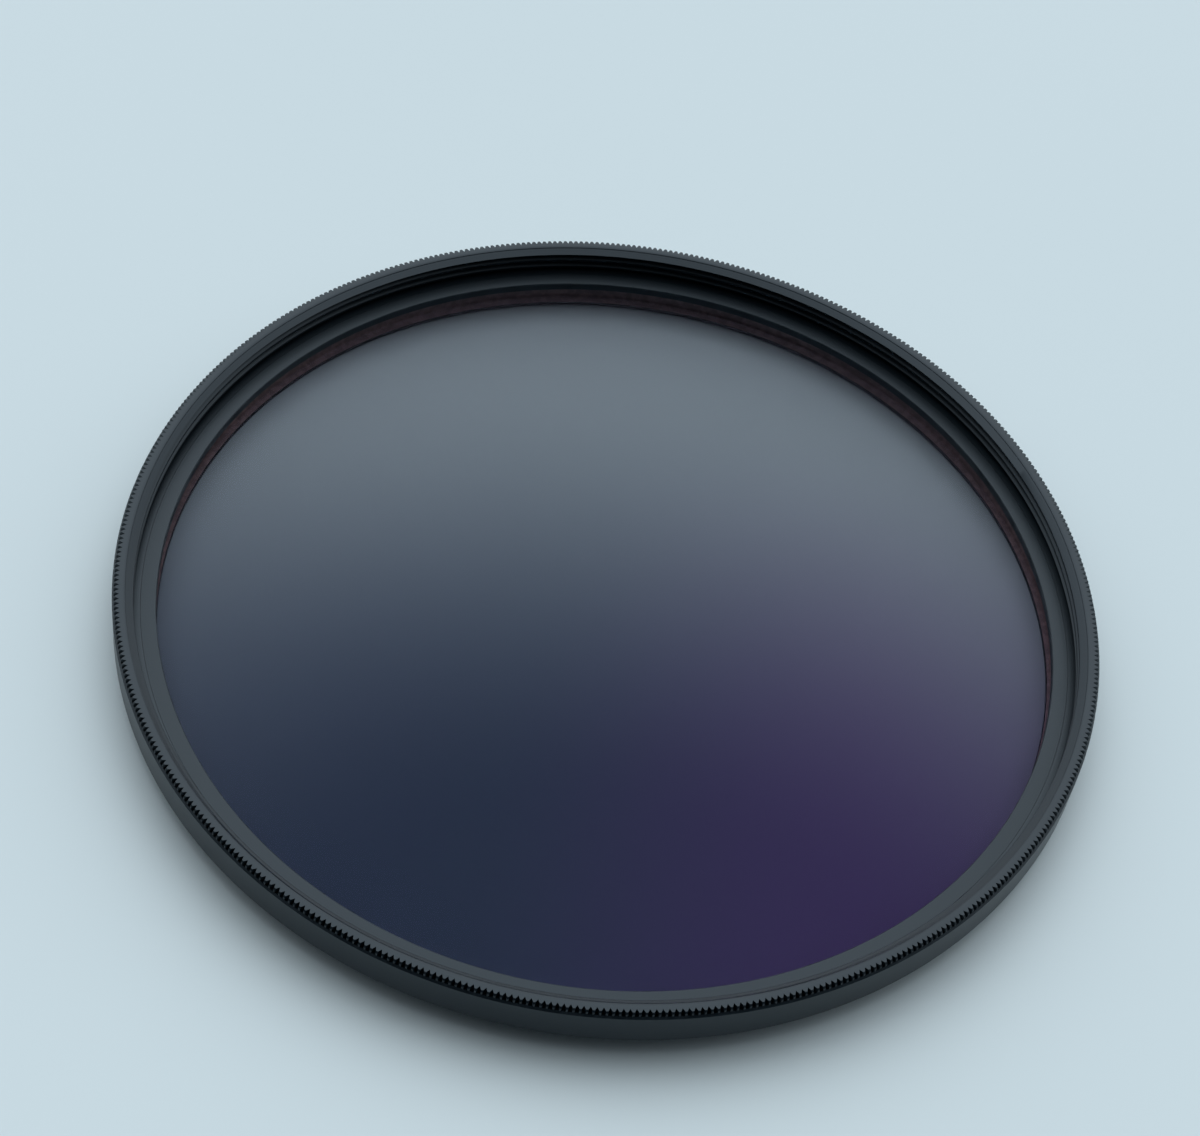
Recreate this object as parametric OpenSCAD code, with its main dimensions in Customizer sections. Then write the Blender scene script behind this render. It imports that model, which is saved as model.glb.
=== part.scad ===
// Round screw-in optical filter, lying on the end of its rear thread.
// A turned ring carries a glass disc, which is loaded from the front and
// held down on a seat lip by a plain retaining ring.
// z = 0 is the rear end of the ring, and +Z looks out of the front.

/* [Threads] */
// Nominal diameter of the filter thread, front and rear
thread_d = 77; // [49:0.5:112]
// Pitch of both threads
thread_pitch = 0.75; // [0.5:0.25:1]
// Length of the rear male thread, shoulder groove included
rear_thread_l = 1.8; // [1.2:0.1:3]
// Length of the front female thread that a mate can reach, below its chamfer
front_thread_l = 0.95; // [0.75:0.05:3]
// Width of the groove that ends each thread
groove_w = 0.35; // [0.2:0.05:0.5]
// Height of the chamfer that leads onto the rear thread
rear_lead = 0.3; // [0.1:0.05:0.4]
// How far the plain lead-in of the front thread opens past the nominal thread
front_lead = 0.1; // [0.05:0.05:0.2]
// Height of that lead-in, above the chamfer of the thread
front_lead_h = 0.45; // [0.3:0.05:1]

/* [Barrel] */
// Wall of the barrel outside the nominal thread
barrel_wall = 1.25; // [1.15:0.05:3]
// Small chamfer on the rear edge of the barrel and on the front face's inner edge
edge_chamfer = 0.15; // [0.05:0.05:0.25]

/* [Knurl] */
// Number of knurl teeth around the front rim
teeth = 520; // [120:4:720]
// Height of the knurled rim
knurl_h = 0.4; // [0.3:0.05:1.5]
// Depth of the knurl teeth
knurl_depth = 0.42; // [0.1:0.02:0.6]
// How far the tooth tips stay inside the barrel
knurl_drop = 0.15; // [0.05:0.05:0.2]

/* [Seat] */
// Wall between the root of the rear thread and the glass pocket
pocket_wall = 0.8; // [0.8:0.1:3]
// Thickness of the lip under the glass
lip_t = 0.45; // [0.3:0.05:1]
// Width of the lip, from the pocket's wall to the clear opening
lip_w = 0.9; // [0.5:0.1:3]
// Step between the front thread and the seat of the retaining ring
seat_step = 0.5; // [0.45:0.05:0.6]

/* [Glass] */
// Thickness of the glass
glass_t = 2; // [1:0.1:3]
// Radial play of the glass in its pocket
glass_play = 0.05; // [0.02:0.01:0.1]
// Bevel on both edges of the glass
glass_bevel = 0.15; // [0.05:0.05:0.3]

/* [Retaining ring] */
// Thickness of the retaining ring
retainer_t = 0.7; // [0.4:0.1:1.5]
// Radial play of the retaining ring in its seat
retainer_play = 0.02; // [0.01:0.01:0.05]
// Height that the glass stands above the seat's ledge, so that it takes the clamping
clamp_rise = 0.05; // [0.02:0.01:0.2]
// Bevel on the inner front edge of the retaining ring
retainer_bevel = 0.12; // [0.05:0.01:0.3]

/* [Hidden] */
$fn = 180;

// Depths of the ISO metric thread form, as shares of the pitch
FEMALE_FORM = 0.5413;
MALE_FORM = 0.6134;

thread_r = thread_d / 2;
female_minor_r = thread_r - FEMALE_FORM * thread_pitch;
male_minor_r = thread_r - MALE_FORM * thread_pitch;
barrel_r = thread_r + barrel_wall;

// Radii of the seat, from the pocket inwards
pocket_r = male_minor_r - pocket_wall;
aperture_r = pocket_r - lip_w;
seat_r = female_minor_r - seat_step;
glass_r = pocket_r - glass_play;
retainer_r = seat_r - retainer_play;

// Heights, stacked up from the rear end
glass_top_z = lip_t + glass_t;
ledge_z = glass_top_z - clamp_rise;
retainer_top_z = glass_top_z + retainer_t;
thread_foot_z = retainer_top_z + groove_w;
thread_head_z = thread_foot_z + front_thread_l;
lead_r = thread_r + front_lead;
lead_foot_z = thread_head_z + lead_r - female_minor_r;
front_z = lead_foot_z + front_lead_h;

// Rim of the knurl
tip_r = barrel_r - knurl_drop;
root_r = tip_r - knurl_depth;
// A cutting tool runs this far past the solid it cuts
CLEAR = 1;

function polar(r, a) = [r * cos(a), r * sin(a)];

// Section of the ring as it leaves the lathe, counter-clockwise from the aperture
function ring_section() = [
    [aperture_r + edge_chamfer, 0],
    [thread_r - rear_lead, 0],
    [thread_r, rear_lead],
    [thread_r, rear_thread_l - groove_w],
    [male_minor_r, rear_thread_l - groove_w],
    [male_minor_r, rear_thread_l],
    [barrel_r - edge_chamfer, rear_thread_l],
    [barrel_r, rear_thread_l + edge_chamfer],
    [barrel_r, front_z],
    [lead_r + edge_chamfer, front_z],
    [lead_r, front_z - edge_chamfer],
    [lead_r, lead_foot_z],
    [female_minor_r, thread_head_z],
    [female_minor_r, thread_foot_z],
    [thread_r, thread_foot_z],
    [thread_r, retainer_top_z],
    [seat_r, retainer_top_z],
    [seat_r, ledge_z],
    [pocket_r, ledge_z],
    [pocket_r, lip_t],
    [aperture_r, lip_t],
    [aperture_r, edge_chamfer]
];

// Outline of the knurled rim: one tip and one root for each tooth
module knurl_outline() {
    pitch = 360 / teeth;
    polygon([for (i = [0 : teeth - 1], side = [0, 1])
        side == 0 ? polar(tip_r, i * pitch) : polar(root_r, (i + 0.5) * pitch)]);
}

// What the knurling tool takes away, all around the front rim
module knurl_cut() {
    translate([0, 0, front_z - knurl_h])
        linear_extrude(knurl_h + CLEAR)
            difference() {
                circle(r = barrel_r + CLEAR);
                knurl_outline();
            }
}

module mount_ring() {
    color("#23272b")
        difference() {
            rotate_extrude() polygon(ring_section());
            knurl_cut();
        }
}

module filter_glass() {
    color("#59636f", 0.6)
        translate([0, 0, lip_t])
            rotate_extrude()
                polygon([
                    [0, 0],
                    [glass_r - glass_bevel, 0],
                    [glass_r, glass_bevel],
                    [glass_r, glass_t - glass_bevel],
                    [glass_r - glass_bevel, glass_t],
                    [0, glass_t]
                ]);
}

module retaining_ring() {
    color("#1d2124")
        translate([0, 0, glass_top_z])
            rotate_extrude()
                polygon([
                    [aperture_r, 0],
                    [retainer_r, 0],
                    [retainer_r, retainer_t],
                    [aperture_r + retainer_bevel, retainer_t],
                    [aperture_r, retainer_t - retainer_bevel]
                ]);
}

mount_ring();
filter_glass();
retaining_ring();
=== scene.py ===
import math
import bmesh
import bpy
from mathutils import Matrix, Vector


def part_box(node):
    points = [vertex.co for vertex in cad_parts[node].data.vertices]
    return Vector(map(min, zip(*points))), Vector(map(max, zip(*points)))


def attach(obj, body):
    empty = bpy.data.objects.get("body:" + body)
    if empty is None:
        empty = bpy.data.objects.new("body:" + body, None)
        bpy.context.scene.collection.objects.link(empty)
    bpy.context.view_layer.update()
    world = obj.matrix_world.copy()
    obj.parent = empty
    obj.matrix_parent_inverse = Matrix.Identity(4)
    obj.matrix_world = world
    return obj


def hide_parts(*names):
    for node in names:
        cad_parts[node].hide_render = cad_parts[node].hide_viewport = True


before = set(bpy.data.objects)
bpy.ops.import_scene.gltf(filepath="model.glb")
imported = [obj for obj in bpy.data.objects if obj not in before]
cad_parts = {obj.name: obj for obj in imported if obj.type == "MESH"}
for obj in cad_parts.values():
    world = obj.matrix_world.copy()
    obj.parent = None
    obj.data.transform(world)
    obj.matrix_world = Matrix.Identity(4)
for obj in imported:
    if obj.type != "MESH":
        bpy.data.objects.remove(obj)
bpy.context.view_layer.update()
mm = 0.001
fullTurn = 2 * math.pi
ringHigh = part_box("mount_ring")[1] / mm
glassLow, glassHigh = (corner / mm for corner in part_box("filter_glass"))
retainerLow, retainerHigh = (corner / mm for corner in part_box("retaining_ring"))
print("frame loaded:", ", ".join(sorted(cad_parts)))


# Camera, at the photograph's viewing angle

cameraView = {
    "lens": 82.5,  # mm
    "sensor": 36,  # mm
    "nearest": 0.01,  # metres, where the view begins
    "distance": 222.0,  # mm along the view, to the front plane of the ring
    "elevation": 49.9,  # degrees above the ring's own plane
    "azimuth": -0.51,  # degrees, where 0 looks along +Y
    "roll": 9.42,  # degrees, the camera's right side raised
    "aim": (-1.28, 1.37),  # mm, where the view meets the front plane
}


def makeCamera(view):
    elevation, azimuth, roll = (math.radians(view[k]) for k in ("elevation", "azimuth", "roll"))
    level = Vector((math.sin(azimuth), math.cos(azimuth), 0)) * math.cos(elevation)
    forward = level - Vector((0, 0, math.sin(elevation)))
    levelRight = forward.cross(Vector((0, 0, 1))).normalized()
    levelUp = levelRight.cross(forward)
    right = levelRight * math.cos(roll) + levelUp * math.sin(roll)
    up = levelUp * math.cos(roll) - levelRight * math.sin(roll)
    camera = bpy.data.objects.new("camera", bpy.data.cameras.new("camera"))
    bpy.context.collection.objects.link(camera)
    camera.data.lens = view["lens"]
    camera.data.sensor_width = view["sensor"]
    camera.data.clip_start = view["nearest"]
    aim = Vector((*view["aim"], ringHigh.z)) * mm
    turn = Matrix((right, up, -forward)).transposed().to_4x4()
    camera.matrix_world = Matrix.Translation(aim - forward * view["distance"] * mm) @ turn
    bpy.context.scene.camera = camera


makeCamera(cameraView)
print("camera placed")


# Shader sheets: a wire is an output socket that takes part in arithmetic

class Wire:
    def __init__(self, sheet, socket):
        self.sheet = sheet
        self.socket = socket

    def work(self, operation, first, second):
        return self.sheet.node("ShaderNodeMath", {"operation": operation}, {0: first, 1: second})

    def __add__(self, other):
        return self.work("ADD", self, other)

    def __radd__(self, other):
        return self.work("ADD", other, self)

    def __sub__(self, other):
        return self.work("SUBTRACT", self, other)

    def __rsub__(self, other):
        return self.work("SUBTRACT", other, self)

    def __mul__(self, other):
        return self.work("MULTIPLY", self, other)

    def __rmul__(self, other):
        return self.work("MULTIPLY", other, self)


class Sheet:
    def __init__(self, owner):
        owner.use_nodes = True
        self.tree = owner.node_tree
        self.tree.nodes.clear()

    def node(self, kind, settings=None, inputs=None, output=0):
        made = self.tree.nodes.new(kind)
        for name, value in (settings or {}).items():
            setattr(made, name, value)
        for name, value in (inputs or {}).items():
            if isinstance(value, Wire):
                self.tree.links.new(value.socket, made.inputs[name])
            else:
                made.inputs[name].default_value = value
        return Wire(self, made.outputs[output])

    def between(self, value, low, high):  # 0 at low, 1 at high, smooth on the way
        return self.node("ShaderNodeMapRange", {"interpolation_type": "SMOOTHSTEP"},
                         {"Value": value, "From Min": low, "From Max": high})

    def blend(self, factor, first, second):  # two colours
        return self.node("ShaderNodeMix", {"data_type": "RGBA"},
                         {0: factor, 6: first, 7: second}, 2)

    def vector(self, operation, inputs, output=0):
        return self.node("ShaderNodeVectorMath", {"operation": operation}, inputs, output)

    def place(self):  # a point of the object, in mm
        spot = self.node("ShaderNodeTexCoord", None, None, "Object")
        return self.vector("SCALE", {0: spot, "Scale": 1 / mm})

    def axes(self, vector):
        parts = self.node("ShaderNodeSeparateXYZ", None, {0: vector})
        return [Wire(self, output) for output in parts.socket.node.outputs]

    def radius(self, point):  # distance from the Z axis
        flat = self.vector("MULTIPLY", {0: point, 1: (1, 1, 0)})
        return self.vector("LENGTH", {0: flat}, "Value")

    def noise(self, point, scale, detail=2.0):  # the scale in waves per mm
        return self.node("ShaderNodeTexNoise", None,
                         {"Vector": point, "Scale": scale, "Detail": detail})

    def bump(self, height):  # a height in metres
        return self.node("ShaderNodeBump", None,
                         {"Height": height, "Distance": 1.0, "Strength": 1.0})

    def specks(self, point, size, share):
        # Round grains: one in each cell of the given size, kept in a share of the cells
        cell = {"Vector": point, "Scale": 1 / size}
        near = self.node("ShaderNodeTexVoronoi", None, cell, "Distance")
        lot = self.axes(self.node("ShaderNodeTexVoronoi", None, cell, "Color"))
        core, fade = lot[1] * 0.04, 0.03  # shares of a cell
        grain = 1 - self.between(near, core, fade + core)
        kept = self.node("ShaderNodeMath", {"operation": "LESS_THAN"}, {0: lot[0], 1: share})
        return grain * kept

    def show(self, shader, kind="ShaderNodeOutputMaterial"):
        end = self.tree.nodes.new(kind)
        self.tree.links.new(shader.socket, end.inputs["Surface"])


def newMaterial(name):
    material = bpy.data.materials.new(name)
    return material, Sheet(material)


print("shader sheets ready")


# Mesh helpers, all in mm about the Z axis

creaseAngle = 25  # degrees


def spin(mesh, rows, columns):
    # A loop of vertices for each row of a section; a row's radius may depend on the angle
    loops = []
    for radius, height in rows:
        loop = []
        for column in range(columns):
            angle = fullTurn * column / columns
            reach = radius(angle, height) if callable(radius) else radius
            spot = Vector((reach * math.cos(angle), reach * math.sin(angle), height))
            loop.append(mesh.verts.new(spot * mm))
        loops.append(loop)
    return loops


def bridge(mesh, first, second):
    count = len(first)
    faces = []
    for i in range(count):
        after = (i + 1) % count
        faces.append(mesh.faces.new((first[i], first[after], second[after], second[i])))
    return faces


def bridgeAll(mesh, loops):
    return [face for first, second in zip(loops, loops[1:]) for face in bridge(mesh, first, second)]


def smoothAll(mesh, kept=()):
    # Edges sharper than the crease angle stay crisp, unless they lie inside the kept faces
    bmesh.ops.recalc_face_normals(mesh, faces=mesh.faces)
    inside = set(kept)
    for face in mesh.faces:
        face.smooth = True
    for edge in mesh.edges:
        crisp = edge.calc_face_angle(0) > math.radians(creaseAngle)
        edge.smooth = not crisp or all(face in inside for face in edge.link_faces)


def addPiece(name, mesh, materials, node):
    data = bpy.data.meshes.new(name)
    mesh.to_mesh(data)
    mesh.free()
    piece = bpy.data.objects.new(name, data)
    bpy.context.collection.objects.link(piece)
    for material in materials:
        data.materials.append(material)
    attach(piece, "root")
    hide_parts(node)
    print(name, "made:", len(data.polygons), "faces")
    return piece


# Mount ring: turned in one piece, with a thread at each end and a knurled front rim

ringForm = {
    "teeth": 520,
    "knurlHeight": 0.4,
    "toothDepth": 0.42,
    "toothDrop": 0.15,  # the tips stay this far inside the barrel
    "toothTip": 0.16,  # half width of a tip, as a share of one tooth
    "toothChamfer": 0.13,  # on the front of each tip
    "valleyDrop": 0.25,  # the valleys are this much deeper at their roots
    "shoulderChamfer": 0.15,  # on the barrel, under the knurl
    "rimLoop": 39.13,  # radius of the lathe's last loop on the front face
    "barrelFoot": 1.8,  # height of the barrel's underside
    "barrelChamfer": 0.15,
    "pitch": 0.75,  # both threads
    "flankSlope": 1.732,  # 60 degrees between the flanks of a groove
    "threadRadius": 38.5,
    "rearMinor": 38.04,
    "rearGroove": 0.328,  # half width of the groove at the crest
    "rearThreadTop": 1.45,
    "rearLead": 0.3,
    "frontMinor": 38.094,
    "frontGroove": 0.281,
    "frontThreadFoot": 3.5,
    "frontThreadHead": 5.05,  # the shallow lead-in cone starts here
    "leadRadius": 38.70,  # outer edge of that cone
    "leadDepth": 0.12,  # of that edge below the front face
    # Rounding of the front face's inner edge: steps out from the cone, drops below the face
    "softEdge": ((0.02, 0.07), (0.12, 0.03), (0.25, 0.008)),
    "frontExit": 75.0,  # degrees from +X, where the front groove runs out
    "threadRow": 0.03,  # height of one mesh row in the threads
    "threadSlack": 0.01,  # a face this far inside the rear groove still counts as thread
    "weld": 0.0005,  # vertices closer than this become one
    "aperture": 36.34,
    "apertureChamfer": 0.15,
    "pocket": 37.24,
    "ledge": 2.4,  # height of the step under the retaining ring
    "seat": 37.594,
}


def grooveDepth(offset, halfWidth, depth):  # the offset counts from the groove's middle
    return min(max(ringForm["flankSlope"] * (halfWidth - abs(offset)), 0), depth)


def threadOffset(angle, height, start):  # height above the middle of the nearest groove
    pitch = ringForm["pitch"]
    turns = (height - start) / pitch - angle / fullTurn
    return (turns - round(turns)) * pitch


def frontThread(angle, height):
    form = ringForm
    offset = threadOffset(angle, height, ringHigh.z - form["pitch"] * form["frontExit"] / 360)
    fullDepth = form["threadRadius"] - form["frontMinor"]
    return form["frontMinor"] + grooveDepth(offset, form["frontGroove"], fullDepth)


def rearThread(angle, height):
    form = ringForm
    crest = form["threadRadius"]
    offset = threadOffset(angle, height, 0)
    groove = grooveDepth(offset, form["rearGroove"], crest - form["rearMinor"])
    return min(crest - groove, crest - form["rearLead"] + height)


def threadRows(radius, first, last):
    count = math.ceil(abs(last - first) / ringForm["threadRow"])
    return [(radius, first + (last - first) * i / count) for i in range(count + 1)]


def inThread(point):
    form = ringForm
    reach = math.hypot(point.x, point.y)
    if form["frontThreadFoot"] < point.z < form["frontThreadHead"]:
        return reach < form["leadRadius"]
    return point.z < form["rearThreadTop"] and reach > form["rearMinor"] - form["threadSlack"]


def knurlLoop(mesh, tipInset, height, rootDrop=0.0):
    # Three vertices for each tooth: both corners of its tip, then the root after it
    form = ringForm
    full = ringHigh.x - form["toothDrop"]
    tip = full - tipInset
    root = full - form["toothDepth"]
    marks = ((-form["toothTip"], tip, 0), (form["toothTip"], tip, 0), (0.5, root, rootDrop))
    loop = []
    for tooth in range(form["teeth"]):
        for share, radius, drop in marks:
            angle = fullTurn * (tooth + share) / form["teeth"]
            spot = Vector((radius * math.cos(angle), radius * math.sin(angle), height - drop))
            loop.append(mesh.verts.new(spot * mm))
    return loop


def joinKnurl(mesh, turned, knurl):
    # A face from each pair of lathe vertices to the tooth edge between them
    count = len(turned)
    for i in range(count):
        after = (i + 1) % count
        edge = (knurl[3 * after + 1], knurl[3 * after], knurl[3 * i + 2], knurl[3 * i + 1])
        mesh.faces.new((turned[i], turned[after], *edge))


def makeMountRing(form, material):
    top, barrel, chamfer = ringHigh.z, ringHigh.x, form["shoulderChamfer"]
    knurlFoot = top - form["knurlHeight"]
    rearRows = threadRows(rearThread, form["rearThreadTop"], 0)
    frontRows = threadRows(frontThread, form["frontThreadFoot"], form["frontThreadHead"])
    outside = [
        (barrel - chamfer, knurlFoot),
        (barrel, knurlFoot - chamfer),
        (barrel, form["barrelFoot"] + form["barrelChamfer"]),
        (barrel - form["barrelChamfer"], form["barrelFoot"]),
        (form["rearMinor"], form["barrelFoot"]),
        (form["rearMinor"], form["rearThreadTop"]),
    ]
    inside = [
        (form["aperture"] + form["apertureChamfer"], 0),
        (form["aperture"], form["apertureChamfer"]),
        (form["aperture"], glassLow.z),
        (form["pocket"], glassLow.z),
        (form["pocket"], form["ledge"]),
        (form["seat"], form["ledge"]),
        (form["seat"], retainerHigh.z),
        (form["threadRadius"], retainerHigh.z),
        (form["threadRadius"], form["frontThreadFoot"]),
    ]
    front = [
        (form["leadRadius"], top - form["leadDepth"]),
        *((form["leadRadius"] + step, top - drop) for step, drop in form["softEdge"]),
        (form["rimLoop"], top),
    ]
    mesh = bmesh.new()
    loops = spin(mesh, outside + rearRows + inside + frontRows + front, form["teeth"])
    bridgeAll(mesh, loops)
    tipChamfer = form["toothChamfer"]
    foot = knurlLoop(mesh, 0, knurlFoot, form["valleyDrop"])
    wall = knurlLoop(mesh, 0, top - tipChamfer)
    crown = knurlLoop(mesh, tipChamfer, top)
    joinKnurl(mesh, loops[0], foot)
    bridgeAll(mesh, (foot, wall, crown))
    joinKnurl(mesh, loops[-1], crown)
    bmesh.ops.remove_doubles(mesh, verts=mesh.verts, dist=form["weld"] * mm)
    threads = [face for face in mesh.faces if inThread(face.calc_center_median() / mm)]
    smoothAll(mesh, threads)
    return addPiece("mountRing", mesh, [material], "mount_ring")


# Black anodised metal

ringFinish = {
    "colour": (0.002, 0.005, 0.008, 1),
    "worn": (0.016, 0.022, 0.028, 1),  # where handling has rubbed the edges
    "sheen": (0.72, 0.88, 1.0, 1),  # the cool tint of its reflections
    "dust": (0.42, 0.44, 0.46, 1),
    "ior": 1.46,
    "roughness": (0.34, 0.43),
    "dustRoughness": 0.3,  # on top of the metal's own
    "patchScale": 0.16,  # waves per mm, of the patches in its roughness
    "grainScale": 9.0,  # of the blasted grain
    "grain": 0.0025,  # mm, depth of the grain
    "turningScale": (9.0, 7.0),  # of the turning marks, over the faces and up the walls
    "turning": 0.0016,  # mm, depth of the turning marks
    "wornRadii": (39.5, 39.7),  # mm, where the wear begins and where it is full
    "wornMiddle": 3.4,  # mm, the height halfway between the worn edges
    "wornHalf": 1.6,  # mm from there up and down to the edges
    "wornFade": (0.3, 0.05),  # mm short of an edge, where the wear begins and is full
    "wornScale": 1.1,  # waves per mm, of the breaks in the wear
    "wornBreaks": (0.46, 0.66),
    "wornStrength": 0.5,
    "dustSize": 1.4,  # mm, one cell of the dust
    "dustShare": 0.02,
}


def wearMask(sheet, place, height, radius, finish):
    middle, half = finish["wornMiddle"], finish["wornHalf"]
    begins, full = (half - short for short in finish["wornFade"])
    fromMiddle = sheet.node("ShaderNodeMath", {"operation": "ABSOLUTE"}, {0: height - middle})
    rubbed = sheet.between(radius, *finish["wornRadii"]) * sheet.between(fromMiddle, begins, full)
    breaks = sheet.noise(place, finish["wornScale"], 4.0)
    return rubbed * sheet.between(breaks, *finish["wornBreaks"])


def anodised(name, finish):
    material, sheet = newMaterial(name)
    place = sheet.place()
    height = sheet.axes(place)[2]
    radius = sheet.radius(place)
    patches = sheet.noise(place, finish["patchScale"], 3.0)
    grain = sheet.noise(place, finish["grainScale"], 3.0)
    across, upward = finish["turningScale"]
    turning = sheet.node("ShaderNodeTexNoise", {"noise_dimensions": "1D"},
                         {"W": radius * across + height * upward, "Scale": 1.0, "Detail": 2.0})
    worn = wearMask(sheet, place, height, radius, finish) * finish["wornStrength"]
    dust = sheet.specks(place, finish["dustSize"], finish["dustShare"])
    tone = sheet.blend(worn, finish["colour"], finish["worn"])
    low, high = finish["roughness"]
    matt = low + (high - low) * (patches * 0.5 + grain * 0.5)  # half from each noise
    surface = sheet.node("ShaderNodeBsdfPrincipled", None, {
        "Base Color": sheet.blend(dust, tone, finish["dust"]),
        "Roughness": matt + dust * finish["dustRoughness"],
        "IOR": finish["ior"],
        "Specular Tint": finish["sheen"],
        "Normal": sheet.bump(turning * finish["turning"] * mm + grain * finish["grain"] * mm),
    })
    sheet.show(surface)
    return material


makeMountRing(ringForm, anodised("blackAnodised", ringFinish))


# Retaining ring: a plain washer pressed in over the glass

retainerForm = {
    "columns": 360,
    "bore": 36.34,
    "boreBevel": 0.06,
    "brokenEdge": 0.02,
}

retainerFinish = {
    **ringFinish,
    "roughness": (0.38, 0.47),
    "turning": 0.0025,
    "wornRadii": (36.5, 36.38),  # inwards, to the edge of the bore
    "wornMiddle": 2.8,
    "wornHalf": 0.35,
    "dustShare": 0.03,
}


def makeRetainer(form, material):
    bore, outer, edge = form["bore"], retainerHigh.x, form["brokenEdge"]
    low, high = retainerLow.z, retainerHigh.z
    rows = [
        (bore + edge, low), (outer - edge, low), (outer, low + edge), (outer, high),
        (bore + form["boreBevel"], high), (bore, high - form["boreBevel"]), (bore, low + edge),
    ]
    mesh = bmesh.new()
    loops = spin(mesh, rows, form["columns"])
    bridgeAll(mesh, loops + loops[:1])
    smoothAll(mesh)
    return addPiece("retainerRing", mesh, [material], "retaining_ring")


makeRetainer(retainerForm, anodised("blackRetainer", retainerFinish))


# Grey filter glass, coated on both faces, with a ground, reddish-brown rim

glassForm = {
    "columns": 360,
    "bevel": 0.15,
    "contact": 36.4,  # from this radius out, the rear face rests on the lip
    "relief": 0.01,  # the faces stay this far off the metal that holds them
}

glassFinish = {
    "grey": (0.312, 0.303, 0.302, 1),  # share of light passed
    "paintedShadeNavy": (0.112, 0.130, 0.182, 1),  # the same, darker and navy: painted shade with a painted blue reflection of the coating
    # painted shade with a painted violet reflection of the coating, darker than the grey
    "paintedShadeViolet": (0.168, 0.118, 0.236, 1),
    "coating": (0.15, 0.10, 0.40, 1),  # residual colour of the anti-reflection coating
    "ior": 1.13,  # low, as the coating takes most of the reflection away
    "dust": (0.75, 0.78, 0.80, 1),
    "dustRoughness": 0.6,
    "dustSize": 5.0,  # mm, one cell of the dust
    "dustShare": 0.012,
    "paintedShade": (5.0, -33.0),  # mm, middle of the painted shade, the darker, bluish part
    "shadeStretch": 1.38,  # the shade is this much shorter along Y than along X
    "shadeReach": (21.0, 84.0),  # mm from its middle, where it thins and where the grey is full
    "violetFrom": (-8.0, 24.0),  # mm along X, where the painted shade's navy begins to turn to violet and has turned
    "drift": 8.0,  # mm, how far the edges of these parts wander
    "driftScale": 0.018,  # waves per mm
    "lampPass": (0.38, 1.0),  # share of the lamps' light let through, in the painted shade and outside it: less in the shade paints a shadow on the floor beneath
    "lampTint": (0.93, 0.96, 1.0, 1),
}

rimFinish = {
    "colour": (0.160, 0.110, 0.118, 1),
    "spots": (0.240, 0.165, 0.170, 1),
    "spotScale": 1.6,  # waves per mm
    "spotEdges": (0.42, 0.62),
    "roughness": 0.7,
    "spotRoughness": 0.15,  # on top of that
    "groundScale": 6.0,  # waves per mm, of the ground surface
    "ground": 0.004,  # mm, its depth
}


def coatedGlass(name, finish):
    material, sheet = newMaterial(name)
    place = sheet.place()
    drift = (sheet.noise(place, finish["driftScale"], 1.0) - 0.5) * finish["drift"]
    # Painted shade: the glass passes less light and turns navy to violet around the shade's middle,
    # grey further out
    stretch = finish["shadeStretch"]
    stretched = sheet.vector("MULTIPLY", {0: place, 1: (1, stretch, 0)})
    middle = (finish["paintedShade"][0], finish["paintedShade"][1] * stretch, 0)
    reach = sheet.vector("DISTANCE", {0: stretched, 1: middle}, "Value")
    outsidePaintedShade = sheet.between(reach + drift, *finish["shadeReach"])
    side = sheet.between(sheet.axes(place)[0] + drift, *finish["violetFrom"])
    paintedShade = sheet.blend(side, finish["paintedShadeNavy"], finish["paintedShadeViolet"])
    dust = sheet.specks(place, finish["dustSize"], finish["dustShare"])
    glass = sheet.node("ShaderNodeBsdfPrincipled", None, {
        "Base Color": sheet.blend(dust, sheet.blend(outsidePaintedShade, paintedShade, finish["grey"]), finish["dust"]),
        "Roughness": dust * finish["dustRoughness"],
        "IOR": finish["ior"],
        "Transmission Weight": 1.0,
        "Specular Tint": finish["coating"],
    })
    lamp = sheet.node("ShaderNodeLightPath", None, None, "Is Shadow Ray")
    bounce = Wire(sheet, lamp.socket.node.outputs["Is Diffuse Ray"])
    low, high = finish["lampPass"]
    clear = sheet.node("ShaderNodeBsdfTransparent", None, {"Color": finish["lampTint"]})
    # Painted shadow: less lamp light passes where the glass is shaded, darkening the floor under it
    passed = (lamp + bounce) * (low + (high - low) * outsidePaintedShade)
    sheet.show(sheet.node("ShaderNodeMixShader", None, {0: passed, 1: glass, 2: clear}))
    return material


def groundRim(name, finish):
    material, sheet = newMaterial(name)
    place = sheet.place()
    spots = sheet.between(sheet.noise(place, finish["spotScale"], 3.0), *finish["spotEdges"])
    ground = sheet.noise(place, finish["groundScale"], 3.0)
    surface = sheet.node("ShaderNodeBsdfPrincipled", None, {
        "Base Color": sheet.blend(spots, finish["colour"], finish["spots"]),
        "Roughness": finish["roughness"] + spots * finish["spotRoughness"],
        "Normal": sheet.bump(ground * finish["ground"] * mm),
    })
    sheet.show(surface)
    return material


def makeGlass(form, materials):
    outer, bevel = glassHigh.x, form["bevel"]
    low, high = glassLow.z + form["relief"], glassHigh.z - form["relief"]
    rows = [
        (form["contact"], low), (outer - bevel, low), (outer, low + bevel),
        (outer, high - bevel), (outer - bevel, high),
    ]
    mesh = bmesh.new()
    loops = spin(mesh, rows, form["columns"])
    for face in bridgeAll(mesh, loops):
        face.material_index = 1
    mesh.faces.new(loops[0])
    mesh.faces.new(loops[-1])
    smoothAll(mesh)
    return addPiece("filterGlass", mesh, materials, "filter_glass")


greyGlass = coatedGlass("coatedGreyGlass", glassFinish)
makeGlass(glassForm, [greyGlass, groundRim("groundRim", rimFinish)])


# Floor and light

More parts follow.
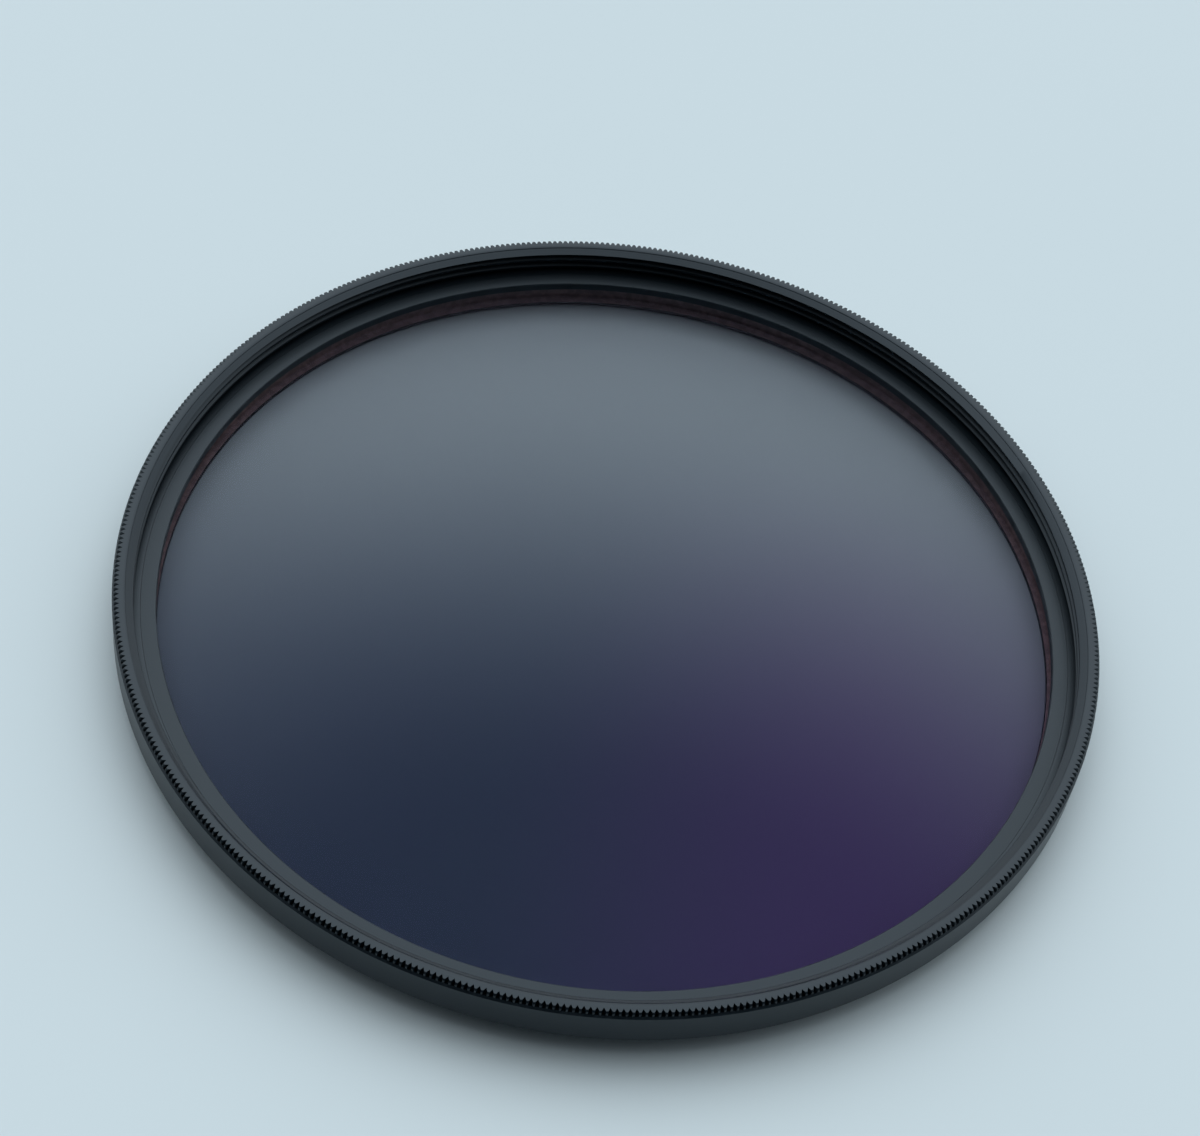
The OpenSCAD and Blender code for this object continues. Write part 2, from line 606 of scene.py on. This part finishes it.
studio = {
    "floorSize": 3,  # metres from its middle to an edge
    "floor": (0.66, 0.77, 0.81, 1),
    "floorShade": (0.61, 0.72, 0.76, 1),
    "floorCloud": 0.006,  # waves per mm, from one colour to the other
    "floorRoughness": 0.65,
    "floorShine": 0.2,
    "back": (1.65, 1.72, 1.78, 1),  # the room behind the object
    "front": (0.07, 0.08, 0.09, 1),  # the room on the camera's side
    "roomTurn": (-0.55, 0.55),  # from front to back, as the Y share of a direction
    "glow": (3.4, 3.5, 3.6, 1),  # a wide soft lamp overhead
    "glowFrom": (-0.05, 0.58, 1.0),
    "glowWidth": 40.0,  # degrees from its middle to where it has faded out
    "strength": 0.73,
}


def makeFloor(look):
    mesh = bmesh.new()
    bmesh.ops.create_grid(mesh, x_segments=1, y_segments=1, size=look["floorSize"])
    data = bpy.data.meshes.new("floor")
    mesh.to_mesh(data)
    mesh.free()
    floor = bpy.data.objects.new("floor", data)
    bpy.context.collection.objects.link(floor)
    material, sheet = newMaterial("paleFloor")
    cloud = sheet.noise(sheet.place(), look["floorCloud"])
    surface = sheet.node("ShaderNodeBsdfPrincipled", None, {
        "Base Color": sheet.blend(cloud, look["floorShade"], look["floor"]),
        "Roughness": look["floorRoughness"],
        "Specular IOR Level": look["floorShine"],
    })
    sheet.show(surface)
    data.materials.append(material)


def makeLight(look):
    world = bpy.data.worlds.new("softRoom")
    bpy.context.scene.world = world
    sheet = Sheet(world)
    direction = sheet.node("ShaderNodeTexCoord", None, None, "Generated")
    turn = sheet.between(sheet.axes(direction)[1], *look["roomTurn"])
    room = sheet.blend(turn, look["front"], look["back"])
    lamp = Vector(look["glowFrom"]).normalized()
    facing = sheet.vector("DOT_PRODUCT", {0: direction, 1: lamp}, "Value")
    glow = sheet.between(facing, math.cos(math.radians(look["glowWidth"])), 1.0)
    air = {"Color": sheet.blend(glow, room, look["glow"]), "Strength": look["strength"]}
    sheet.show(sheet.node("ShaderNodeBackground", None, air), "ShaderNodeOutputWorld")


makeFloor(studio)
makeLight(studio)
bpy.context.scene.view_settings.view_transform = "Standard"
print("floor and light set")
